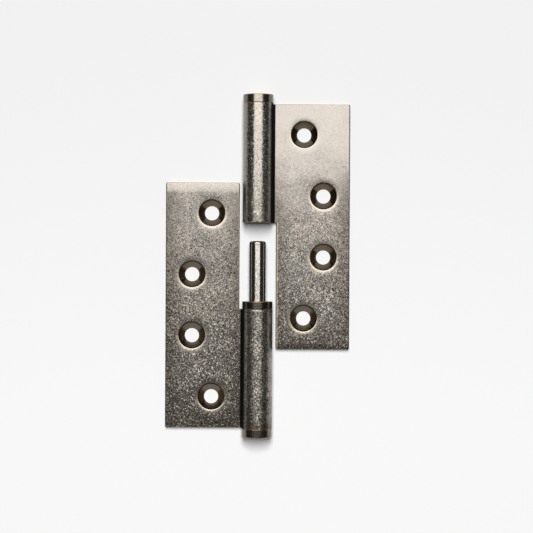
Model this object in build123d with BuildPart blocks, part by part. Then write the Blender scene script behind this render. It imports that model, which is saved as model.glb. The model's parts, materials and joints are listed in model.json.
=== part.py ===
"""Lift-off door hinge, taken apart and lying on its back.

Two equal leaves are cut and rolled from steel sheet. The frame leaf holds the pin in its lower knuckle and
carries a loose thrust ring. The door leaf has a socket in its upper knuckle, which drops over the pin. A
turned cap closes the outer end of each knuckle. Here the door leaf is drawn up off the pin, in line with it.

Frame: X across the open hinge with the pin's axis at 0, Y along the pin, Z up from the table under the backs
of the leaves. Y = 0 is halfway along the whole hinge. Sizes are in millimetres.
"""

from build123d import *
from math import asin, degrees
import os

# Leaf, cut from sheet
sheet_thickness = 2.7
leaf_height = 100.0
leaf_width = 30.0
corner_radius = 0.5
edge_chamfer = 0.25

# Screw holes, countersunk from the front: the end two near the knuckle, the middle two near the outer edge
hole_diameter = 5.8
countersink_diameter = 10.8
countersink_angle = 90.0
hole_pitch = 25.0
end_hole_inset = 18.7
middle_hole_inset = 10.7
rim_chamfer = 0.15

# Pin
pin_diameter = 6.8
pin_free_length = 24.5
pin_foot_gap = 1.4
pin_shoulder_drop = 0.5
pin_tip_radius = 1.0
pin_foot_chamfer = 0.5

# Thrust ring
ring_height = 3.2
ring_chamfer = 0.2

# End caps
cap_height = 3.5
cap_edge_chamfer = 0.3
cap_seat_chamfer = 0.15
spigot_length = 5.0
spigot_chamfer = 0.5

# Fits and gaps: running fits on the radius, the press fit as an overlap
socket_clearance = 0.05
ring_clearance = 0.08
press_interference = 0.01
roll_seam_gap = 0.1
barrel_side_gap = 1.35

# How far the door leaf is drawn up from its seat on the ring
lift_off = 32.1

# Roll: the sheet turns round the bore until it meets the leaf's front, and leaves the barrel's underside flat
quarter_turn = 90
bore_radius = pin_diameter / 2 + socket_clearance
barrel_radius = bore_radius + sheet_thickness
roll_end_angle = degrees(asin((bore_radius - roll_seam_gap) / barrel_radius))
roll_sweep = 3 * quarter_turn + roll_end_angle
knuckle_length = (leaf_height - ring_height) / 2

# Leaf edges and screw lines, measured outwards from the pin's axis
notch_edge = barrel_radius + barrel_side_gap
outer_edge = notch_edge + leaf_width
end_hole_line = outer_edge - end_hole_inset
middle_hole_line = outer_edge - middle_hole_inset

# Screw rows, measured both ways from the middle of the leaf
middle_hole_row = hole_pitch / 2
end_hole_row = middle_hole_row + hole_pitch

# Places along the pin
overall_length = lift_off + leaf_height + 2 * cap_height
frame_end = cap_height - overall_length / 2
door_end = overall_length / 2 - cap_height
ring_seat = frame_end + knuckle_length
ring_top = ring_seat + ring_height
pin_foot = frame_end + spigot_length + pin_foot_gap
pin_shoulder = ring_seat - pin_shoulder_drop
pin_tip = ring_top + pin_free_length

# Turned sizes
pin_radius = pin_diameter / 2
pressed_radius = bore_radius + press_interference
ring_bore_radius = pin_radius + ring_clearance

# Each half is drawn from the capped end of its knuckle: local X runs out along the leaf, local Y is height
frame_capped_end = Plane(origin=(0, frame_end, 0), x_dir=(-1, 0, 0), z_dir=(0, 1, 0))
door_capped_end = Plane(origin=(0, door_end, 0), x_dir=(1, 0, 0), z_dir=(0, -1, 0))
barrel_centre = (0, barrel_radius)

# The pin and its ring are drawn beside the pin's axis, at its height, and revolved about it
turning_plane = Plane.XY.offset(barrel_radius)
pin_axis = Axis((0, 0, barrel_radius), (0, 1, 0))

os.makedirs("parts", exist_ok=True)


def is_sharp(edge):
    """True of a leaf's own edges, and not of the line where the flat leaf runs into the roll."""
    return abs(edge.center().X) > edge_chamfer


# Leaves: the same sheet twice, one turned end for end from the other
for name, capped_end in (("frame_leaf", frame_capped_end), ("door_leaf", door_capped_end)):
    with BuildPart() as leaf:
        # Section through the knuckle: up the front, round the bore, across the seam, back round the outside
        with BuildSketch(capped_end):
            with BuildLine():
                outside = CenterArc(barrel_centre, barrel_radius, -quarter_turn, -roll_sweep)
                inside = CenterArc(barrel_centre, bore_radius, -roll_end_angle, roll_sweep)
                Line(outside @ 1, inside @ 0)
                Polyline(inside @ 1, (outer_edge, sheet_thickness), (outer_edge, 0), outside @ 0)
            make_face()
        extrude(amount=knuckle_length)

        # Beyond the knuckle the leaf is notched, to leave room for the other half's barrel
        with BuildSketch(capped_end.offset(knuckle_length)):
            with Locations((notch_edge + leaf_width / 2, sheet_thickness / 2)):
                Rectangle(leaf_width, sheet_thickness)
        extrude(amount=leaf_height - knuckle_length)

        # Corners, then the broken edges all round the front, the back and both mouths of the knuckle
        fillet(leaf.edges().filter_by(Axis.Z), radius=corner_radius)
        flats = leaf.faces().filter_by(Axis.Z)
        chamfer([flat.outer_wire().edges().filter_by(is_sharp) for flat in flats], length=edge_chamfer)

        # Four screw holes on the front, mirrored about the middle of the leaf
        middle = capped_end.offset(leaf_height / 2).origin + Vector(0, 0, sheet_thickness)
        with Locations(Plane(origin=middle, x_dir=capped_end.x_dir, z_dir=(0, 0, 1))):
            with Locations(
                (end_hole_line, -end_hole_row),
                (middle_hole_line, -middle_hole_row),
                (middle_hole_line, middle_hole_row),
                (end_hole_line, end_hole_row),
            ):
                CounterSinkHole(
                    hole_diameter / 2, countersink_diameter / 2, counter_sink_angle=countersink_angle
                )
        front = leaf.faces().filter_by(Axis.Z).sort_by(Axis.Z)[-1]
        chamfer([rim.edges() for rim in front.inner_wires()], length=rim_chamfer)
    leaf.part.label = name
    export_step(leaf.part, f"parts/{name}.step")

# Caps: a head as wide as the barrel closes the roll, and a spigot is pressed into the bore
for name, capped_end in (("lower_cap", frame_capped_end), ("upper_cap", door_capped_end)):
    with BuildPart() as cap:
        with BuildSketch(capped_end):
            with Locations(barrel_centre):
                Circle(barrel_radius)
        extrude(amount=-cap_height)
        seat_rim, outer_rim = cap.edges().filter_by(GeomType.CIRCLE).sort_by_distance((0, 0, 0))
        chamfer(outer_rim, length=cap_edge_chamfer)
        chamfer(seat_rim, length=cap_seat_chamfer)
        with BuildSketch(capped_end):
            with Locations(barrel_centre):
                Circle(pressed_radius)
        extrude(amount=spigot_length)
        spigot_rim = cap.edges().filter_by(GeomType.CIRCLE).sort_by_distance((0, 0, 0))[0]
        chamfer(spigot_rim, length=spigot_chamfer)
    cap.part.label = name
    export_step(cap.part, f"parts/{name}.step")

# Pin: the foot is pressed into the lower knuckle, and the free end above the shoulder runs in the socket
with BuildPart() as hinge_pin:
    with BuildSketch(turning_plane):
        with BuildLine():
            Polyline(
                (0, pin_foot),
                (pressed_radius, pin_foot),
                (pressed_radius, pin_shoulder),
                (pin_radius, pin_shoulder),
                (pin_radius, pin_tip),
                (0, pin_tip),
                close=True,
            )
        make_face()
    revolve(axis=pin_axis)
    fillet(hinge_pin.edges().group_by(Axis.Y)[-1], radius=pin_tip_radius)
    chamfer(hinge_pin.edges().group_by(Axis.Y)[0], length=pin_foot_chamfer)
hinge_pin.part.label = "hinge_pin"
export_step(hinge_pin.part, "parts/hinge_pin.step")

# Thrust ring: loose on the pin, it keeps the two knuckles apart and carries the door
with BuildPart() as thrust_ring:
    with BuildSketch(turning_plane):
        with Locations(((ring_bore_radius + barrel_radius) / 2, (ring_seat + ring_top) / 2)):
            Rectangle(barrel_radius - ring_bore_radius, ring_height)
    revolve(axis=pin_axis)
    chamfer(thrust_ring.edges().filter_by(GeomType.CIRCLE), length=ring_chamfer)
thrust_ring.part.label = "thrust_ring"
export_step(thrust_ring.part, "parts/thrust_ring.step")
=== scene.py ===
import json
from math import cos, exp, pi, radians, sin, tau
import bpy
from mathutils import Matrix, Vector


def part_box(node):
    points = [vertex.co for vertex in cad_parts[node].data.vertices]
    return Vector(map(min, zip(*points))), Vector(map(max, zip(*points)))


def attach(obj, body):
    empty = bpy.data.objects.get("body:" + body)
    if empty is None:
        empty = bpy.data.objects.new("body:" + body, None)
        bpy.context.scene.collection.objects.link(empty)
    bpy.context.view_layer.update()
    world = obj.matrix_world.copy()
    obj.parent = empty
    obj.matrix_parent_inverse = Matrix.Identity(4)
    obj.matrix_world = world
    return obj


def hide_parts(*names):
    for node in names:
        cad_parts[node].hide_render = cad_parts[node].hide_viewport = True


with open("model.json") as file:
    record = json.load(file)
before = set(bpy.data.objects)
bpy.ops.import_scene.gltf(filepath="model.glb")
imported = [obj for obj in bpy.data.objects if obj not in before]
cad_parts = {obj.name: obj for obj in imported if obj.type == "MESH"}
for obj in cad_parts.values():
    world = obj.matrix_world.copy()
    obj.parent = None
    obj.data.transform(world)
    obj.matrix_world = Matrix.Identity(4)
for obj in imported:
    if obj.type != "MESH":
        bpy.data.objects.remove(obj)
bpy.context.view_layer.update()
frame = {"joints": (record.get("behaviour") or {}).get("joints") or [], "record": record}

from types import SimpleNamespace

import bmesh
import bpy
from mathutils import Matrix, Vector

MM = 0.001

# Studio: the hinge lies on a pale matt table, seen from straight above. A large soft lamp over the far side
# lights the metal, whose upper part mirrors it while the lower part mirrors the dim room. A narrower lamp
# lights the table alone, so that shadows fall towards the viewer. None of this is part of the hinge.
scene = bpy.context.scene
scene.view_settings.view_transform = "Standard"

camera_height = 700 * MM
camera_aim = (3.64 * MM, -0.26 * MM)
camera_roll = radians(0.3)
picture_width = 218.6 * MM
sensor_width = 36.0

camera_lens = bpy.data.cameras.new("camera")
camera_lens.sensor_width = sensor_width
camera_lens.lens = sensor_width * camera_height / picture_width
camera = bpy.data.objects.new("camera", camera_lens)
camera.location = (*camera_aim, camera_height)
camera.rotation_euler = (0, 0, camera_roll)
scene.collection.objects.link(camera)
scene.camera = camera

lamp_height = 2.0


def hung_lamp(name, half_width, near_edge, far_edge, power):
    """A flat rectangular lamp that shines straight down. Its near and far edge are measured from the middle
    of the table, in metres, and its power is in watts."""
    light = bpy.data.lights.new(name, "AREA")
    light.shape = "RECTANGLE"
    light.size = 2 * half_width
    light.size_y = far_edge - near_edge
    light.energy = power
    lamp = bpy.data.objects.new(name, light)
    lamp.location = (0, (near_edge + far_edge) / 2, lamp_height)
    scene.collection.objects.link(lamp)
    return lamp


metal_lamp = hung_lamp("metal_lamp", half_width=1.24, near_edge=0.075, far_edge=2.8, power=92.0)
table_lamp = hung_lamp("table_lamp", half_width=0.28, near_edge=0.05, far_edge=1.25, power=51.0)

room_level = 0.05
room = bpy.data.worlds.new("dim_room")
room.use_nodes = True
room.node_tree.nodes["Background"].inputs["Color"].default_value = (room_level, room_level, room_level, 1)
scene.world = room


def add(tree, kind, inputs=None, **settings):
    """Adds a node to a tree. Its inputs are values, or sockets to link, and its settings are properties."""
    made = tree.nodes.new(kind)
    for key, value in settings.items():
        setattr(made, key, value)
    for key, value in (inputs or {}).items():
        if isinstance(value, bpy.types.NodeSocket):
            tree.links.new(value, made.inputs[key])
        else:
            made.inputs[key].default_value = value
    return made


def reckon(tree, operation, *values):
    """A sum on numbers or sockets."""
    return add(tree, "ShaderNodeMath", dict(enumerate(values)), operation=operation).outputs[0]


def ease(tree, value, low, high, start=0.0, end=1.0):
    """Goes smoothly from start to end as the value goes from low to high."""
    limits = {"Value": value, "From Min": low, "From Max": high, "To Min": start, "To Max": end}
    return add(tree, "ShaderNodeMapRange", limits, interpolation_type="SMOOTHSTEP").outputs["Result"]


def blend(tree, share, first, second):
    """Mixes two colours: all first at a share of 0, all second at 1."""
    return add(tree, "ShaderNodeMix", {0: share, 6: first, 7: second}, data_type="RGBA").outputs[2]


table_size = 6.0
table_near_colour = (0.93, 0.93, 0.93, 1)
table_far_colour = (0.79, 0.79, 0.79, 1)
table_fade = 0.13

corner = table_size / 2
table_mesh = bpy.data.meshes.new("table")
table_corners = [(-corner, -corner, 0), (corner, -corner, 0), (corner, corner, 0), (-corner, corner, 0)]
table_mesh.from_pydata(table_corners, [], [(0, 1, 2, 3)])
table = bpy.data.objects.new("table", table_mesh)
scene.collection.objects.link(table)
table_paint = bpy.data.materials.new("table_paint")
table_paint.use_nodes = True
tree = table_paint.node_tree
table_shader = tree.nodes["Principled BSDF"]
table_shader.inputs["Roughness"].default_value = 1.0
table_shader.inputs["Specular IOR Level"].default_value = 0.0
place = add(tree, "ShaderNodeTexCoord").outputs["Object"]
far_side = add(tree, "ShaderNodeSeparateXYZ", {0: place}).outputs["Y"]
shade = ease(tree, far_side, -table_fade, table_fade)
tree.links.new(blend(tree, shade, table_near_colour, table_far_colour), table_shader.inputs["Base Color"])
table_mesh.materials.append(table_paint)

for lamp, state in ((metal_lamp, "EXCLUDE"), (table_lamp, "INCLUDE")):
    linked = bpy.data.collections.new(f"{lamp.name}_{state.lower()}")
    linked.objects.link(table)
    linked.collection_objects[0].light_linking.link_state = state
    lamp.light_linking.receiver_collection = linked


# Leaves: each half of the hinge is one sheet of steel, notched, rolled round the pin at its knuckle and
# drilled with four countersunk screw holes. The sheet is plated in antique nickel and buffed back, so that
# the pits of its grain stay dark and its edges are worn to the brass coloured undercoat.
swing = next(joint for joint in frame["joints"] if joint["name"] == "swing")
mounts = {mount["name"]: mount for mount in frame["record"]["mounts"]}
pin_height = swing["pos_m"][2]
barrel_radius = pin_height
leaf_low, leaf_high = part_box("door_leaf")
ring_low, ring_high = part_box("thrust_ring")

sheet_thickness = 2.7 * MM
bore_radius = 3.45 * MM
roll_end_angle = radians(33.0)
roll_steps = 96
notch_edge = 7.5 * MM
notch_overrun = 5 * MM
corner_radius = 0.5 * MM
corner_steps = 4
edge_rounding = 0.25 * MM
edge_steps = 3
sharp_edge_angle = radians(50)
merge_distance = 0.001 * MM
upright_tolerance = 0.01 * MM
leaf_height = leaf_high.y - leaf_low.y
knuckle_length = (leaf_height - (ring_high.y - ring_low.y)) / 2
knuckle_mouth = leaf_high.y - knuckle_length

hole_count = 4
middle_index = (hole_count - 1) / 2
screw_hole_radius = mounts["door_end_screws"]["dims"]["hole_r_mm"] * MM
hole_pitch = mounts["door_middle_screws"]["dims"]["spacing_y_mm"] * MM
end_hole_line, leaf_middle, _ = mounts["door_end_screws"]["pos_m"]
middle_hole_line = mounts["door_middle_screws"]["pos_m"][0]
countersink_radius = 5.4 * MM
lip_rounding = 0.25 * MM
dish_radius = 8.4 * MM
dish_depth = 0.09 * MM
dish_falloff = 0.95 * MM
dish_tail = 0.08
dish_steps = 8
dish_step_growth = 1.5
cutter_overrun = 1 * MM
crease_angle = radians(35)
full_face_weight = 100


def hole_places():
    """The four screw holes of the door's leaf, as (x, y) in metres."""
    lines = (end_hole_line, middle_hole_line, middle_hole_line, end_hole_line)
    return [(line, leaf_middle + hole_pitch * (index - middle_index)) for index, line in enumerate(lines)]


def hole_centres(side):
    """The screw holes in millimetres on the door's leaf (side 1), or end for end on the frame's (-1)."""
    return [(side * x / MM, side * y / MM, 0) for x, y in hole_places()]


def softened(corners, steps=4):
    """An outline of (radius, height, worn) points from (radius, height, rounding) corners: each corner with a
    rounding becomes a curve, whose faces are marked as worn."""
    points = []
    for index, (radius, height, rounding) in enumerate(corners):
        here = Vector((radius, height))
        if rounding == 0:
            points.append((radius, height, 0))
            continue
        before = Vector(corners[index - 1][:2])
        after = Vector(corners[(index + 1) % len(corners)][:2])
        start = here + (before - here).normalized() * rounding
        end = here + (after - here).normalized() * rounding
        for step in range(steps + 1):
            t = step / steps
            point = start * (1 - t) ** 2 + here * 2 * t * (1 - t) + end * t ** 2
            points.append((point.x, point.y, 1 if step < steps else 0))
    return points


def turned(name, outline, segments=96):
    """A mesh turned about Z from an outline that starts and ends on the axis, or else closes on itself."""
    shape = bmesh.new()
    worn_edge = shape.faces.layers.float.new("worn_edge")
    angles = [tau * index / segments for index in range(segments)]
    rings = []
    for radius, height, _ in outline:
        around = angles if radius else angles[:1]
        places = [(radius * cos(angle), radius * sin(angle), height) for angle in around]
        rings.append([shape.verts.new(place) for place in places])
    pairs = list(zip(rings, rings[1:]))
    if outline[0][0]:
        pairs.append((rings[-1], rings[0]))
    for (one, other), (_, _, worn) in zip(pairs, outline):
        for index in range(segments):
            corners = [
                one[index % len(one)],
                one[(index + 1) % len(one)],
                other[(index + 1) % len(other)],
                other[index % len(other)],
            ]
            face = shape.faces.new(dict.fromkeys(corners))
            face[worn_edge] = worn
            face.smooth = True
    bmesh.ops.recalc_face_normals(shape, faces=shape.faces)
    mesh = bpy.data.meshes.new(name)
    shape.to_mesh(mesh)
    shape.free()
    return mesh


def shown(name, mesh, material, body, node):
    """Puts a finished mesh in the scene in place of the plain node, shaded flat beside its rounded edges."""
    piece = bpy.data.objects.new(name, mesh)
    scene.collection.objects.link(piece)
    mesh.materials.clear()
    mesh.materials.append(material)
    mesh.set_sharp_from_angle(angle=crease_angle)
    normals = piece.modifiers.new("clean_normals", "WEIGHTED_NORMAL")
    normals.keep_sharp = True
    normals.weight = full_face_weight
    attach(piece, body)
    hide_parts(node)
    return piece


def countersink_cutter():
    """The turned shape that a screw hole takes out: the hole, its cone, the rounded lip of the cone, and the
    shallow dish that the press leaves round it."""
    rim_height = sheet_thickness - dish_depth
    cone_foot = rim_height - (countersink_radius - screw_hole_radius)
    outline = [
        (0, -cutter_overrun, 0),
        (screw_hole_radius, -cutter_overrun, 0),
        (screw_hole_radius, cone_foot, 0),
        (countersink_radius, rim_height, lip_rounding),
    ]
    for index in range(2, dish_steps + 1):
        out = (dish_radius - countersink_radius) * (index / dish_steps) ** dish_step_growth
        sunk = dish_depth * ((1 + dish_tail) * exp(-out / dish_falloff) - dish_tail)
        outline.append((countersink_radius + out, sheet_thickness - sunk, 0))
    outline.append((dish_radius, 2 * sheet_thickness, 0))
    outline.append((0, 2 * sheet_thickness, 0))
    return turned("countersink_cutter", softened(outline))


def extruded(name, outline, start, end):
    """A closed mesh from an outline of (x, z) points, drawn along Y."""
    shape = bmesh.new()
    face = shape.faces.new([shape.verts.new((x, start, z)) for x, z in outline])
    drawn = bmesh.ops.extrude_face_region(shape, geom=[face])
    moved = [item for item in drawn["geom"] if isinstance(item, bmesh.types.BMVert)]
    bmesh.ops.translate(shape, verts=moved, vec=(0, end - start, 0))
    bmesh.ops.recalc_face_normals(shape, faces=shape.faces)
    mesh = bpy.data.meshes.new(name)
    shape.to_mesh(mesh)
    shape.free()
    return mesh


def arc(radius, first, last):
    """Points (x, z) on a circle about the pin's axis."""
    angles = [first + (last - first) * step / roll_steps for step in range(roll_steps + 1)]
    return [(radius * cos(angle), pin_height + radius * sin(angle)) for angle in angles]


def leaf_tree():
    """Cuts the notch and the four countersinks out of a rolled blank, at a pitch and on two screw lines."""
    tree = bpy.data.node_groups.new("cut_leaf", "GeometryNodeTree")
    tree.interface.new_socket("Blank", in_out="INPUT", socket_type="NodeSocketGeometry")
    tree.interface.new_socket("Cutter", in_out="INPUT", socket_type="NodeSocketObject")
    tree.interface.new_socket("Notch", in_out="INPUT", socket_type="NodeSocketObject")
    tree.interface.new_socket("Pitch", in_out="INPUT", socket_type="NodeSocketFloat")
    tree.interface.new_socket("End line", in_out="INPUT", socket_type="NodeSocketFloat")
    tree.interface.new_socket("Middle line", in_out="INPUT", socket_type="NodeSocketFloat")
    tree.interface.new_socket("Middle", in_out="INPUT", socket_type="NodeSocketFloat")
    tree.interface.new_socket("Plating", in_out="INPUT", socket_type="NodeSocketMaterial")
    tree.interface.new_socket("Leaf", in_out="OUTPUT", socket_type="NodeSocketGeometry")
    given = add(tree, "NodeGroupInput").outputs

    # Four points in a row: the first and last stand on the end line, the two between on the middle line
    lowest = reckon(tree, "SUBTRACT", given["Middle"], reckon(tree, "MULTIPLY", given["Pitch"], middle_index))
    start = add(tree, "ShaderNodeCombineXYZ", {"X": given["End line"], "Y": lowest}).outputs[0]
    step = add(tree, "ShaderNodeCombineXYZ", {"Y": given["Pitch"]}).outputs[0]
    line = {"Count": hole_count, "Start Location": start, "Offset": step}
    row = add(tree, "GeometryNodeMeshLine", line, mode="OFFSET")
    index = add(tree, "GeometryNodeInputIndex").outputs[0]
    from_middle = reckon(tree, "ABSOLUTE", reckon(tree, "SUBTRACT", index, middle_index))
    is_middle = reckon(tree, "LESS_THAN", from_middle, 1.0)
    stagger = reckon(tree, "SUBTRACT", given["Middle line"], given["End line"])
    shift = add(tree, "ShaderNodeCombineXYZ", {"X": reckon(tree, "MULTIPLY", is_middle, stagger)}).outputs[0]
    places = add(tree, "GeometryNodeSetPosition", {"Geometry": row.outputs[0], "Offset": shift}).outputs[0]

    cutter = add(tree, "GeometryNodeObjectInfo", {"Object": given["Cutter"]}).outputs["Geometry"]
    notch = add(tree, "GeometryNodeObjectInfo", {"Object": given["Notch"]}).outputs["Geometry"]
    cutters = add(tree, "GeometryNodeInstanceOnPoints", {"Points": places, "Instance": cutter}).outputs[0]
    whole = {"Mesh 1": given["Blank"]}
    cut = add(tree, "GeometryNodeMeshBoolean", whole, operation="DIFFERENCE", solver="EXACT")
    tree.links.new(cutters, cut.inputs["Mesh 2"])
    tree.links.new(notch, cut.inputs["Mesh 2"])
    leaf = add(tree, "GeometryNodeRealizeInstances", {"Geometry": cut.outputs["Mesh"]}).outputs[0]
    plated = add(tree, "GeometryNodeSetMaterial", {"Geometry": leaf, "Material": given["Plating"]}).outputs[0]
    add(tree, "NodeGroupOutput", {"Leaf": plated})
    return tree


def made_by(tree, blank, values):
    """Runs a Geometry Nodes tree on a mesh with its named values, and returns the result as a plain mesh."""
    worker = bpy.data.objects.new("worker", blank)
    scene.collection.objects.link(worker)
    modifier = worker.modifiers.new("tree", "NODES")
    modifier.node_group = tree
    for item in tree.interface.items_tree:
        if item.name in values:
            modifier[item.identifier] = values[item.name]
    result = bpy.data.meshes.new_from_object(worker.evaluated_get(bpy.context.evaluated_depsgraph_get()))
    bpy.data.objects.remove(worker)
    return result


def is_upright(edge):
    """True of the sheet's corners, which run straight through its thickness."""
    one, other = edge.verts[0].co, edge.verts[1].co
    is_plumb = (one.xy - other.xy).length < upright_tolerance
    return is_plumb and abs(abs(one.z - other.z) - sheet_thickness) < upright_tolerance


def is_outer(edge):
    """True of the sheet's sharp outer edges, and not of those in a screw hole or its dish."""
    if len(edge.link_faces) != 2 or not edge.is_convex or edge.calc_face_angle() <= sharp_edge_angle:
        return False
    middle = (edge.verts[0].co + edge.verts[1].co) / 2
    return all((middle.xy - Vector(place)).length >= dish_radius for place in hole_places())


def round_edges(mesh):
    """Rounds the corners of a cut sheet, then all its sharp outer edges, and marks the latter as worn."""
    shape = bmesh.new()
    shape.from_mesh(mesh)
    bmesh.ops.remove_doubles(shape, verts=shape.verts, dist=merge_distance)
    for face in shape.faces:
        face.smooth = True
    corners = [edge for edge in shape.edges if is_upright(edge)]
    bmesh.ops.bevel(
        shape, geom=corners, offset=corner_radius, segments=corner_steps, profile=0.5, affect="EDGES"
    )
    rims = [edge for edge in shape.edges if is_outer(edge)]
    rounded = bmesh.ops.bevel(
        shape, geom=rims, offset=edge_rounding, segments=edge_steps, profile=0.5, affect="EDGES",
        clamp_overlap=True,
    )
    worn_edge = shape.faces.layers.float.get("worn_edge") or shape.faces.layers.float.new("worn_edge")
    for face in shape.faces:
        face[worn_edge] = 0
    for face in rounded["faces"]:
        face[worn_edge] = 1
        face.smooth = True
    shape.to_mesh(mesh)
    shape.free()


def new_material(name):
    """A metal's material with its place in millimetres, and the shader that the rest is linked to."""
    material = bpy.data.materials.new(name)
    material.use_nodes = True
    tree = material.node_tree
    shader = tree.nodes["Principled BSDF"]
    shader.inputs["Metallic"].default_value = 1.0
    in_metres = add(tree, "ShaderNodeTexCoord").outputs["Object"]
    to_mm = {0: in_metres, 1: (1 / MM, 1 / MM, 1 / MM)}
    place = add(tree, "ShaderNodeVectorMath", to_mm, operation="MULTIPLY").outputs[0]
    return material, tree, shader, place


def cloud(tree, place, size, detail=2.0, roughness=0.5):
    """Noise whose blots are about so many millimetres across, around a middle of one half."""
    noise = {"Vector": place, "Scale": 1 / size, "Detail": detail, "Roughness": roughness}
    return add(tree, "ShaderNodeTexNoise", noise).outputs["Fac"]


wear_cloud = 3.0
wear_edges = (0.35, 0.6)
least_wear = 0.5


def worn_share(tree, place):
    """How far an edge is worn through: the rounded edges of the mesh, broken up along their length."""
    edge = add(tree, "ShaderNodeAttribute", attribute_name="worn_edge").outputs["Fac"]
    patches = ease(tree, cloud(tree, place, wear_cloud), *wear_edges, least_wear, 1.0)
    return reckon(tree, "MULTIPLY", edge, patches)


def facets(tree, place, size, tilt, lean):
    """A surface of tiny flat facets of that size in millimetres, most of them tilted a little and a few much
    more, on top of one common lean along Y."""
    cells = add(tree, "ShaderNodeTexVoronoi", {"Vector": place, "Scale": 1 / size}).outputs["Color"]
    chance = add(tree, "ShaderNodeTexWhiteNoise", {"Vector": cells}).outputs["Value"]
    spread = reckon(tree, "MULTIPLY_ADD", reckon(tree, "POWER", chance, rare_facets), steep_facets, 1.0)
    ways = add(tree, "ShaderNodeVectorMath", {0: cells, 1: (0.5, 0.5, 0.5)}, operation="SUBTRACT").outputs[0]
    random_lean = add(tree, "ShaderNodeVectorMath", {0: ways}, operation="SCALE")
    tree.links.new(reckon(tree, "MULTIPLY", tilt, spread), random_lean.inputs["Scale"])
    upright = add(tree, "ShaderNodeNewGeometry").outputs["Normal"]
    tilted = add(tree, "ShaderNodeVectorMath", {0: upright, 1: random_lean.outputs[0]}).outputs[0]
    common_lean = add(tree, "ShaderNodeCombineXYZ", {"Y": lean}).outputs[0]
    tilted = add(tree, "ShaderNodeVectorMath", {0: tilted, 1: common_lean}).outputs[0]
    return add(tree, "ShaderNodeVectorMath", {0: tilted}, operation="NORMALIZE").outputs[0], cells


def surface(tree, shader, colour, roughness, height, normal=None):
    """Links a finish to its shader; the height is in millimetres."""
    tree.links.new(colour, shader.inputs["Base Color"])
    tree.links.new(roughness, shader.inputs["Roughness"])
    bump = add(tree, "ShaderNodeBump", {"Distance": MM, "Height": height})
    if normal:
        tree.links.new(normal, bump.inputs["Normal"])
    tree.links.new(bump.outputs[0], shader.inputs["Normal"])


# Colours of the plate, from where it is buffed to where it is grainy, of what lies over or under it, and
# of the painted shade at its root, its edges and its lower end
plate_colour = (0.2, 0.183, 0.164, 1)
warm_colour = (0.255, 0.23, 0.2, 1)
buffed_colour = (0.207, 0.19, 0.17, 1)
barrel_plate = (0.316, 0.288, 0.254, 1)
barrel_warm = (0.4, 0.36, 0.308, 1)
barrel_buffed = (0.283, 0.259, 0.229, 1)
crown_colour = (0.231, 0.21, 0.186, 1)
smoky_colour = (0.115, 0.098, 0.077, 1)
smudge_colour = (0.118, 0.118, 0.11, 1)
# Darker towards the long edges and the lower end, painted shade at the lower end
unbuffed_colour = (0.09, 0.078, 0.064, 1)
burnished_colour = (0.33, 0.302, 0.265, 1)
rim_colour = (0.27, 0.236, 0.189, 1)
cone_colour = (0.125, 0.1, 0.071, 1)
bent_lip_colour = (0.34, 0.285, 0.21, 1)
undercoat_colour = (0.36, 0.235, 0.11, 1)
# Painted shade beside the notch and along the outer edge
edge_shade_colour = (0.05, 0.042, 0.032, 1)
# Painted shade in the root beside the barrel
root_shade_colour = (0.003, 0.0026, 0.002, 1)

# Grain: widths in millimetres, tilts as slopes. A pair holds the two ends of a soft change.
grain_size = 0.36
rare_facets = 3.0
steep_facets = 4.0
grain_cloud = 9.0
grain_drift = 40.0
grained_tilts = (0.005, 0.03)
barrel_grain = 0.07
barrel_share = 0.45
barrel_lean = 0.004
crown_edges = (2.8, 1.2)
crown_tilts = (0.034, 0.014)
crown_grain = 0.6
dish_grain = 0.4
cone_grain = 0.15
smoky_cells = (0.45, 0.95)
smudge_cloud = 6.0
smudge_edges = (0.42, 0.62)
smudge_share = 0.45
# How far the darkening reaches from the long edges and from the lower end, where it is painted shade
unbuffed_reach = 9.0
unbuffed_stretch = 0.6
unbuffed_barrel_reach = 4.0
unbuffed_share = 0.75

# Roughness, from the buffed plate to the root beside the barrel
smoothest = 0.185
mattest = 0.26
matt_tilts = (0.006, 0.024)
facet_matt = 0.015
barrel_matt = 0.03
front_matt = 0.3
cone_gloss = 0.12
speck_cells = (0.5, 0.75)
speck_matt = 0.41
worn_matt = 0.5
# The root's painted shade is matt and has little shine
root_matt = 0.8
root_specular = 0.1

# Round a countersink, in millimetres from its rim: the lip, the dish, and the plate that its tool burnished
lip_inside = (0.2, 0.1)
lip_outside = (0.4, 0.2)
lip_wear = 0.15
dish_edges = (2.6, 0.6)
burnished_edges = (1.4, 0.3)
burnished_share = 0.6

# In a countersink: its least height over the leaf's back, where its upper and its lower wall begin as the
# sine of their direction from the hole, how far these lean, and the rings left by the tool
cone_heights = (0.02, 0.06)
upper_wall = (0.55, 0.68)
lower_wall = (-0.5, -0.7)
upper_burnish = 0.28
lower_burnish = 0.22
cone_mark_width = 0.42
cone_mark_depth = 0.03

# Edges and ends, in millimetres, with the slopes to which they bend
barrel_margin = 0.05
bent_lip_fade = 0.15
bent_lip_clearance = 0.5
bent_lip_shade = (0.35, 0.25)
# Where the painted shade along the outer edge begins and ends
outer_rim_edges = (0.45, 0.35)
# Where the root's painted shade ends outside and inside the barrel's edge
root_outside = (1.0, 0.6)
root_inside = (1.1, 0.8)
rollover_fade = 1.5
rollover_slope = 0.06
knuckle_end_width = 0.9
knuckle_end_slope = 0.16
wave_size = 16.0
wave_height = 0.16


def product(tree, first, *others):
    """Numbers or sockets multiplied together."""
    for other in others:
        first = reckon(tree, "MULTIPLY", first, other)
    return first


def down_to(tree, share, least):
    """Falls from 1 to the least as a share goes from 0 to 1."""
    return ease(tree, share, 0.0, 1.0, 1.0, least)


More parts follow.
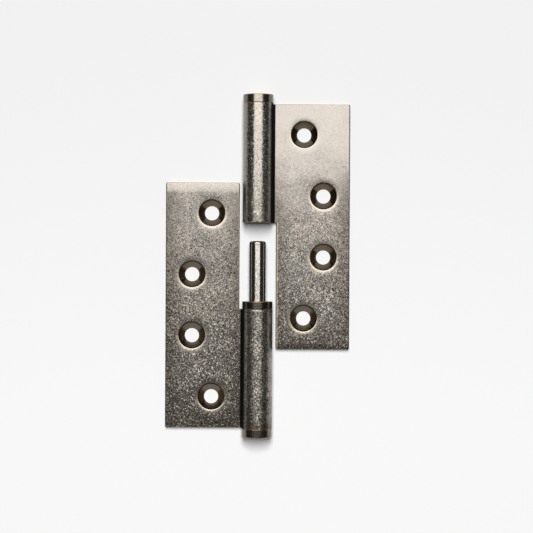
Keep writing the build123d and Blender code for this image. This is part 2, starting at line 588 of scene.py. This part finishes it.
def leaf_places(tree, place, side, bent_lip_width, rollover_width):
    """Where a point lies on the door's leaf (side 1) or the frame's (side -1): distances in millimetres, and
    for each feature a share that is 1 on it and 0 away from it."""
    at = SimpleNamespace()
    parts = add(tree, "ShaderNodeSeparateXYZ", {0: place}).outputs
    barrel = barrel_radius / MM
    at.along = parts["Y"]
    at.from_axis = reckon(tree, "ABSOLUTE", parts["X"])
    at.outwards = product(tree, parts["X"], side)
    at.on_barrel = reckon(tree, "LESS_THAN", at.from_axis, barrel + barrel_margin)

    # Countersinks, with their lips and dishes. The upness is the sine of a point's direction from its hole: 1
    # straight above it and -1 straight below.
    level = add(tree, "ShaderNodeVectorMath", {0: place, 1: (1, 1, 0)}, operation="MULTIPLY").outputs[0]
    distances = [
        add(tree, "ShaderNodeVectorMath", {0: level, 1: centre}, operation="DISTANCE").outputs["Value"]
        for centre in hole_centres(side)
    ]
    at.from_hole = distances[0]
    for distance in distances[1:]:
        at.from_hole = reckon(tree, "MINIMUM", at.from_hole, distance)
    rim = countersink_radius / MM
    off_back = ease(tree, parts["Z"], *cone_heights)
    in_cone = ease(tree, at.from_hole, rim - lip_inside[1], rim - lip_inside[0])
    at.in_cone = product(tree, in_cone, off_back)
    past_cone = ease(tree, at.from_hole, rim - lip_inside[0], rim - lip_inside[1])
    at.lip = product(tree, past_cone, ease(tree, at.from_hole, rim + lip_outside[0], rim + lip_outside[1]))
    at.in_dish = ease(tree, at.from_hole, rim + dish_edges[0], rim + dish_edges[1])
    burnished = (rim + burnished_edges[0], rim + burnished_edges[1])
    at.burnished = ease(tree, at.from_hole, *burnished, 0.0, burnished_share)
    half_pitch = hole_pitch / 2 / MM
    first_row = side * (leaf_middle + hole_pitch / 2) / MM
    from_row = reckon(tree, "SUBTRACT", at.along, first_row)
    from_row = reckon(tree, "WRAP", from_row, half_pitch, -half_pitch)
    at.upness = reckon(tree, "DIVIDE", from_row, at.from_hole)

    # The notched end, the lip that the punch bent along the notch with painted shade on its side by the
    # notch, the painted dark shade along the outer edge, and the end of the leaf that the shear rolled over
    to_notch = product(tree, at.along, -side)
    notched = reckon(tree, "GREATER_THAN", to_notch, -knuckle_mouth / MM)
    bent_lip = notch_edge / MM + bent_lip_width
    bent_lip = product(tree, ease(tree, at.outwards, bent_lip, bent_lip - bent_lip_fade), notched)
    past_barrel = reckon(tree, "GREATER_THAN", at.outwards, barrel + bent_lip_clearance)
    at.bent_lip = product(tree, bent_lip, past_barrel)
    shade = ease(tree, at.outwards, notch_edge / MM + bent_lip_shade[0], notch_edge / MM + bent_lip_shade[1])
    at.shaded_lip = product(tree, at.bent_lip, shade)
    outer_edge = leaf_high.x / MM
    at.outer_rim = ease(tree, at.outwards, outer_edge - outer_rim_edges[0], outer_edge - outer_rim_edges[1])
    roll_start = -leaf_low.y / MM - rollover_width
    at.rolled = reckon(tree, "MAXIMUM", reckon(tree, "SUBTRACT", to_notch, roll_start), 0.0)

    # The root: the corner where the leaf runs into the barrel, painted near black as shade
    root = ease(tree, at.outwards, barrel + root_outside[0], barrel + root_outside[1])
    past_flank = ease(tree, at.outwards, barrel - root_inside[0], barrel - root_inside[1])
    at.root = product(tree, root, past_flank, reckon(tree, "SUBTRACT", 1.0, notched))

    # Darker towards the long edges and the lower end of the leaf and of the lower barrel, painted shade at
    # the lower end
    middle_line = (leaf_high.x + barrel_radius) / 2 / MM
    half_width = (leaf_high.x - barrel_radius) / 2 / MM
    from_middle = reckon(tree, "ABSOLUTE", reckon(tree, "SUBTRACT", at.outwards, middle_line))
    from_edge = reckon(tree, "SUBTRACT", half_width, from_middle)
    lower_end = (leaf_low.y if side > 0 else -leaf_high.y) / MM
    from_lower = product(tree, reckon(tree, "SUBTRACT", at.along, lower_end), unbuffed_stretch)
    from_edge = reckon(tree, "MINIMUM", from_edge, from_lower)
    flat_edge = ease(tree, from_edge, unbuffed_reach, 0.0)
    flat_edge = product(tree, flat_edge, reckon(tree, "SUBTRACT", 1.0, at.on_barrel))
    barrel_end = product(tree, ease(tree, from_lower, unbuffed_barrel_reach, 0.0), at.on_barrel)
    at.unbuffed = reckon(tree, "MAXIMUM", flat_edge, barrel_end)
    return at


def leaf_facets(tree, place, at, grain):
    """The grain: facets that glint one by one, tilted most on the rolled barrel and least where the plate is
    buffed. In the countersinks the upper and the lower wall also lean, as if they were steeper."""
    on_roll = reckon(tree, "MULTIPLY_ADD", grain, barrel_share, barrel_grain)
    tilt = product(
        tree,
        ease(tree, at.on_barrel, 0.0, 1.0, grain, on_roll),
        down_to(tree, at.crown, crown_grain),
        at.plain_edge,
        down_to(tree, at.in_dish, dish_grain),
        down_to(tree, at.in_cone, cone_grain),
    )
    upper = ease(tree, at.upness, *upper_wall, 0.0, upper_burnish)
    lower = ease(tree, at.upness, *lower_wall, 0.0, lower_burnish)
    cone_lean = product(tree, at.in_cone, reckon(tree, "SUBTRACT", upper, lower))
    lean = reckon(tree, "SUBTRACT", product(tree, at.on_barrel, barrel_lean), cone_lean)
    normal, cells = facets(tree, place, grain_size, tilt, lean)
    return normal, add(tree, "ShaderNodeSeparateXYZ", {0: cells}).outputs


def leaf_colour(tree, place, at, cell, worn):
    """The plate's colour, facet by facet, and over it in turn whatever lies on it or has worn through it,
    with painted shade at the root, beside the notch, along the outer edge and towards the lower end.
    """
    plate = blend(tree, at.grained, buffed_colour, blend(tree, cell["X"], plate_colour, warm_colour))
    roll = blend(tree, at.grained, barrel_buffed, blend(tree, cell["X"], barrel_plate, barrel_warm))
    colour = blend(tree, at.on_barrel, plate, roll)
    colour = blend(tree, at.crown, colour, crown_colour)
    smoky = product(tree, ease(tree, cell["Z"], *smoky_cells), at.mottle)
    colour = blend(tree, smoky, colour, smoky_colour)
    smudges = ease(tree, cloud(tree, place, smudge_cloud, detail=3.0, roughness=0.6), *smudge_edges)
    colour = blend(tree, product(tree, smudges, at.mottle, smudge_share), colour, smudge_colour)
    # Darker towards the long edges and the lower end, painted shade at the lower end
    colour = blend(tree, product(tree, at.unbuffed, at.mottle, unbuffed_share), colour, unbuffed_colour)
    colour = blend(tree, product(tree, at.burnished, at.mottle), colour, burnished_colour)
    colour = blend(tree, at.in_cone, colour, cone_colour)
    colour = blend(tree, at.lip, colour, rim_colour)
    colour = blend(tree, worn, colour, undercoat_colour)
    colour = blend(tree, at.bent_lip, colour, bent_lip_colour)
    # Painted shade on the lip beside the notch and along the outer edge
    colour = blend(tree, at.shaded_lip, colour, edge_shade_colour)
    colour = blend(tree, at.outer_rim, colour, edge_shade_colour)
    # Painted shade: the root beside the barrel, near black
    return blend(tree, at.root, colour, root_shade_colour)


def leaf_roughness(tree, at, cell, grain, worn):
    """Smooth where the plate is buffed, matt on grain, worn edges, the barrel's specks and the root."""
    matt = ease(tree, grain, *matt_tilts, smoothest, mattest)
    matt = reckon(tree, "MULTIPLY_ADD", at.on_barrel, barrel_matt, matt)
    matt = reckon(tree, "ADD", matt, ease(tree, cell["Z"], 0.0, 1.0, -facet_matt, facet_matt))
    limit = reckon(tree, "SUBTRACT", front_matt, product(tree, at.in_cone, cone_gloss))
    matt = reckon(tree, "MINIMUM", matt, limit)
    rubbed = reckon(tree, "MAXIMUM", worn, at.bent_lip)
    crown_free = reckon(tree, "SUBTRACT", 1.0, at.crown)
    specks = product(tree, ease(tree, cell["Y"], *speck_cells), at.on_barrel, crown_free)
    for share, roughness in ((rubbed, worn_matt), (specks, speck_matt), (at.root, root_matt)):
        matt = reckon(tree, "MAXIMUM", matt, product(tree, share, roughness))
    return matt


def leaf_relief(tree, place, at, side, rollover_width):
    """Heights in millimetres: turning marks in the countersinks, the end that the shear rolled over, the
    rounded upper end of the knuckle, and the long waves of rolled sheet."""
    round_hole = add(tree, "ShaderNodeCombineXYZ", {"X": at.from_hole}).outputs[0]
    marks = product(tree, cloud(tree, round_hole, cone_mark_width, detail=1.0), cone_mark_depth, at.in_cone)
    bend = -rollover_slope / (2 * rollover_width)
    rollover = product(tree, reckon(tree, "POWER", at.rolled, 2.0), bend)
    waves = product(tree, cloud(tree, place, wave_size, detail=1.0), wave_height)
    knuckle_middle = side * (leaf_high.y + knuckle_mouth) / 2 / MM
    from_middle = reckon(tree, "SUBTRACT", at.along, knuckle_middle)
    end = reckon(tree, "SUBTRACT", from_middle, knuckle_length / 2 / MM - knuckle_end_width)
    end = reckon(tree, "POWER", reckon(tree, "MAXIMUM", end, 0.0), 2.0)
    end = product(tree, end, -knuckle_end_slope / (2 * knuckle_end_width), at.on_barrel)
    return reckon(tree, "ADD", reckon(tree, "ADD", marks, end), reckon(tree, "ADD", rollover, waves))


def leaf_plating(name, side, buffed_end, grainy_end, rollover_width, rollover_grain, bent_lip_width):
    """Antique nickel on the door's leaf (side 1) or the frame's (side -1). The buffed and the grainy end each
    give a place along the pin in millimetres and the tilt of the grain's facets there."""
    material, tree, shader, place = new_material(name)
    at = leaf_places(tree, place, side, bent_lip_width, rollover_width)

    # How grainy: from one end to the other in drifting clouds, but plainer at the rolled over end and on the
    # crown of the buffed barrel
    drift = product(tree, reckon(tree, "SUBTRACT", cloud(tree, place, grain_cloud), 0.5), grain_drift)
    ragged = reckon(tree, "ADD", at.along, drift)
    grain = ease(tree, ragged, buffed_end[0], grainy_end[0], buffed_end[1], grainy_end[1])
    at.grained = ease(tree, grain, *grained_tilts)
    at.plain_edge = ease(tree, at.rolled, 0.0, rollover_fade, 1.0, rollover_grain)
    at.mottle = product(tree, at.grained, at.plain_edge)
    buffed = ease(tree, grain, *crown_tilts)
    at.crown = product(tree, ease(tree, at.from_axis, *crown_edges), buffed, at.on_barrel)

    normal, cell = leaf_facets(tree, place, at, grain)
    worn = reckon(tree, "MAXIMUM", worn_share(tree, place), product(tree, at.lip, lip_wear))
    colour = leaf_colour(tree, place, at, cell, worn)
    roughness = leaf_roughness(tree, at, cell, grain, worn)
    height = leaf_relief(tree, place, at, side, rollover_width)
    surface(tree, shader, colour, roughness, height, normal)

    # The root's painted shade is no metal, so that it mirrors nothing
    tree.links.new(reckon(tree, "SUBTRACT", 1.0, at.root), shader.inputs["Metallic"])
    shader.inputs["Specular IOR Level"].default_value = root_specular
    return material


door_plating = leaf_plating(
    "door_plating", 1, buffed_end=(49.0, 0.009), grainy_end=(-22.0, 0.074),
    rollover_width=2.2, rollover_grain=0.9, bent_lip_width=0.8,
)
frame_plating = leaf_plating(
    "frame_plating", -1, buffed_end=(40.0, 0.026), grainy_end=(-50.0, 0.078),
    rollover_width=4.4, rollover_grain=0.2, bent_lip_width=0.5,
)

section = arc(barrel_radius, radians(-90), -roll_end_angle - tau)
section += arc(bore_radius, -roll_end_angle, radians(270))
section += [(leaf_high.x, sheet_thickness), (leaf_high.x, 0)]
blank = extruded("blank", section, leaf_low.y, leaf_high.y)

notch_outline = [
    (-barrel_radius - notch_overrun, -notch_overrun),
    (notch_edge, -notch_overrun),
    (notch_edge, 2 * barrel_radius + notch_overrun),
    (-barrel_radius - notch_overrun, 2 * barrel_radius + notch_overrun),
]
cutter = bpy.data.objects.new("countersink_cutter", countersink_cutter())
notch = bpy.data.objects.new(
    "notch_cutter", extruded("notch_cutter", notch_outline, leaf_low.y - notch_overrun, knuckle_mouth)
)
cut_values = {
    "Cutter": cutter,
    "Notch": notch,
    "Pitch": hole_pitch,
    "End line": end_hole_line,
    "Middle line": middle_hole_line,
    "Middle": leaf_middle,
    "Plating": door_plating,
}
door_mesh = made_by(leaf_tree(), blank, cut_values)
door_mesh.name = "door_sheet"
round_edges(door_mesh)
frame_mesh = door_mesh.copy()
frame_mesh.name = "frame_sheet"
frame_mesh.transform(Matrix.Rotation(pi, 4, "Z"))
bpy.data.objects.remove(cutter)
bpy.data.objects.remove(notch)
shown("door_sheet", door_mesh, door_plating, "socket_half", "door_leaf")
shown("frame_sheet", frame_mesh, frame_plating, "pin_half", "frame_leaf")


# Pin: a turned and polished steel rod, pressed into the lower knuckle up to a low shoulder. Its free end
# is rounded so that the socket finds it, and the rubbing of the socket keeps it brighter than the plate.
pin_low, pin_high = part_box("hinge_pin")
pressed_radius = (pin_high.x - pin_low.x) / 2
pin_radius = 3.4 * MM
pin_shoulder_drop = 0.5 * MM
pin_shoulder = ring_low.y - pin_shoulder_drop
pin_tip_rounding = 1.1 * MM
pin_foot_chamfer = 0.5 * MM
along_pin = Matrix.Translation((0, 0, pin_height)) @ Matrix.Rotation(-pi / 2, 4, "X")

pin_colour = (0.33, 0.312, 0.284, 1)
pin_stain = (0.255, 0.232, 0.196, 1)
copper_colour = (0.3, 0.2, 0.11, 1)
pin_lean = 0.02
pin_grain = 0.022
pin_smooth = 0.19
pin_matt = 0.215
pin_matt_blots = (0.3, 0.7)
pin_brushing = 0.6
rubbing_stretch = 0.08
rubbing_width = 0.35
dull_rubbing = (0.3, 0.7)
bright_rubbing = (0.2, 0.6)
least_brightness = 0.6
stain_size = 1.3
stain_edges = (0.42, 0.6)
stain_share = 0.7
stain_height = 0.03
tip_stain = (2.2, 0.4)
ring_stain = (0.9, 0.2)


def polished_pin():
    """Polished steel with faint lengthwise rubbing marks, and a few copper stains at the tip and the ring."""
    material, tree, shader, place = new_material("polished_pin")
    along = add(tree, "ShaderNodeSeparateXYZ", {0: place}).outputs["Y"]
    stretch = {0: place, 1: (1, rubbing_stretch, 1)}
    stretched = add(tree, "ShaderNodeVectorMath", stretch, operation="MULTIPLY").outputs[0]
    rubbing = cloud(tree, stretched, rubbing_width)
    colour = blend(tree, ease(tree, rubbing, *dull_rubbing), pin_stain, pin_colour)
    colour = blend(tree, ease(tree, rubbing, *bright_rubbing, least_brightness, 1.0), colour, pin_colour)

    blots = cloud(tree, place, stain_size, detail=3.0, roughness=0.6)
    tip = pin_high.y / MM
    at_tip = ease(tree, along, tip - tip_stain[0], tip - tip_stain[1])
    ring_top = ring_high.y / MM
    at_ring = ease(tree, along, ring_top + ring_stain[0], ring_top + ring_stain[1])
    stains = product(tree, reckon(tree, "ADD", at_tip, at_ring), ease(tree, blots, *stain_edges))
    colour = blend(tree, product(tree, stains, stain_share), colour, copper_colour)

    # The polishing runs along the pin, which falls very slightly towards its tip
    shader.inputs["Anisotropic"].default_value = pin_brushing
    tree.links.new(add(tree, "ShaderNodeCombineXYZ", {"Y": 1.0}).outputs[0], shader.inputs["Tangent"])
    roughness = ease(tree, blots, *pin_matt_blots, pin_smooth, pin_matt)
    height = reckon(tree, "ADD", product(tree, along, -pin_lean), product(tree, stains, stain_height))
    normal, _ = facets(tree, place, grain_size, pin_grain, 0.0)
    surface(tree, shader, colour, roughness, height, normal)
    return material


pin_outline = softened([
    (0, pin_low.y, 0),
    (pressed_radius, pin_low.y, pin_foot_chamfer),
    (pressed_radius, pin_shoulder, 0),
    (pin_radius, pin_shoulder, 0),
    (pin_radius, pin_high.y, pin_tip_rounding),
    (0, pin_high.y, 0),
], steps=8)
pin_mesh = turned("pin", pin_outline)
pin_mesh.transform(along_pin)
shown("pin", pin_mesh, polished_pin(), "pin_half", "hinge_pin")


# Thrust ring: a turned ring, loose on the pin, that keeps the two knuckles apart and carries the door.
# It has the same antique plating, left dark and satin because nothing has buffed it.
ring_bore_radius = 3.48 * MM
ring_rounding = 0.25 * MM
ring_colour = (0.125, 0.112, 0.092, 1)
ring_dark = (0.058, 0.052, 0.043, 1)
turning_stretch = 0.1
turning_width = 0.22
turning_height = 0.006
blot_size = 0.8
blot_height = 0.01
dark_blots = (0.35, 0.65)
matt_blots = (0.3, 0.7)
turned_worn_matt = 0.45


def turned_plating(name, bright, dark, smooth, matt):
    """Antique nickel on a turned piece: fine marks round the pin's axis, soft blots and worn edges."""
    material, tree, shader, place = new_material(name)
    stretch = {0: place, 1: (turning_stretch, 1, turning_stretch)}
    squeezed = add(tree, "ShaderNodeVectorMath", stretch, operation="MULTIPLY").outputs[0]
    marks = cloud(tree, squeezed, turning_width)
    blots = cloud(tree, place, blot_size, detail=3.0, roughness=0.6)
    worn = worn_share(tree, place)
    colour = blend(tree, ease(tree, blots, *dark_blots), dark, bright)
    colour = blend(tree, worn, colour, undercoat_colour)
    roughness = ease(tree, blots, *matt_blots, matt, smooth)
    roughness = reckon(tree, "MAXIMUM", roughness, product(tree, worn, turned_worn_matt))
    height = reckon(tree, "ADD", product(tree, marks, turning_height), product(tree, blots, blot_height))
    surface(tree, shader, colour, roughness, height)
    return material


ring_outline = softened([
    (ring_bore_radius, ring_low.y, ring_rounding),
    (barrel_radius, ring_low.y, ring_rounding),
    (barrel_radius, ring_high.y, ring_rounding),
    (ring_bore_radius, ring_high.y, ring_rounding),
])
ring_mesh = turned("ring", ring_outline)
ring_mesh.transform(along_pin)
ring_plating = turned_plating("ring_plating", ring_colour, ring_dark, smooth=0.2, matt=0.3)
shown("ring", ring_mesh, ring_plating, "ring", "thrust_ring")


# End caps: turned discs as wide as the barrel, each with a spigot pressed into the open end of the roll.
# They are plated with the leaves, but their turned faces stay smoother than the sheet.
cap_rounding = 0.35 * MM
seat_rounding = 0.2 * MM
spigot_chamfer = 0.5 * MM
cap_colour = (0.215, 0.196, 0.17, 1)
cap_dark = (0.155, 0.137, 0.114, 1)
cap_plating = turned_plating("cap_plating", cap_colour, cap_dark, smooth=0.18, matt=0.26)

lower_cap_low, lower_cap_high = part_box("lower_cap")
upper_cap_low, upper_cap_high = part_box("upper_cap")
caps = (
    ("lower_cap_turned", "lower_cap", "pin_half", lower_cap_low.y, -leaf_high.y, lower_cap_high.y),
    ("upper_cap_turned", "upper_cap", "socket_half", upper_cap_high.y, leaf_high.y, upper_cap_low.y),
)
for name, node, body, outer_end, seat, spigot_end in caps:
    cap_outline = softened([
        (0, outer_end, 0),
        (barrel_radius, outer_end, cap_rounding),
        (barrel_radius, seat, seat_rounding),
        (pressed_radius, seat, 0),
        (pressed_radius, spigot_end, spigot_chamfer),
        (0, spigot_end, 0),
    ])
    cap_mesh = turned(name, cap_outline)
    cap_mesh.transform(along_pin)
    shown(name, cap_mesh, cap_plating, body, node)
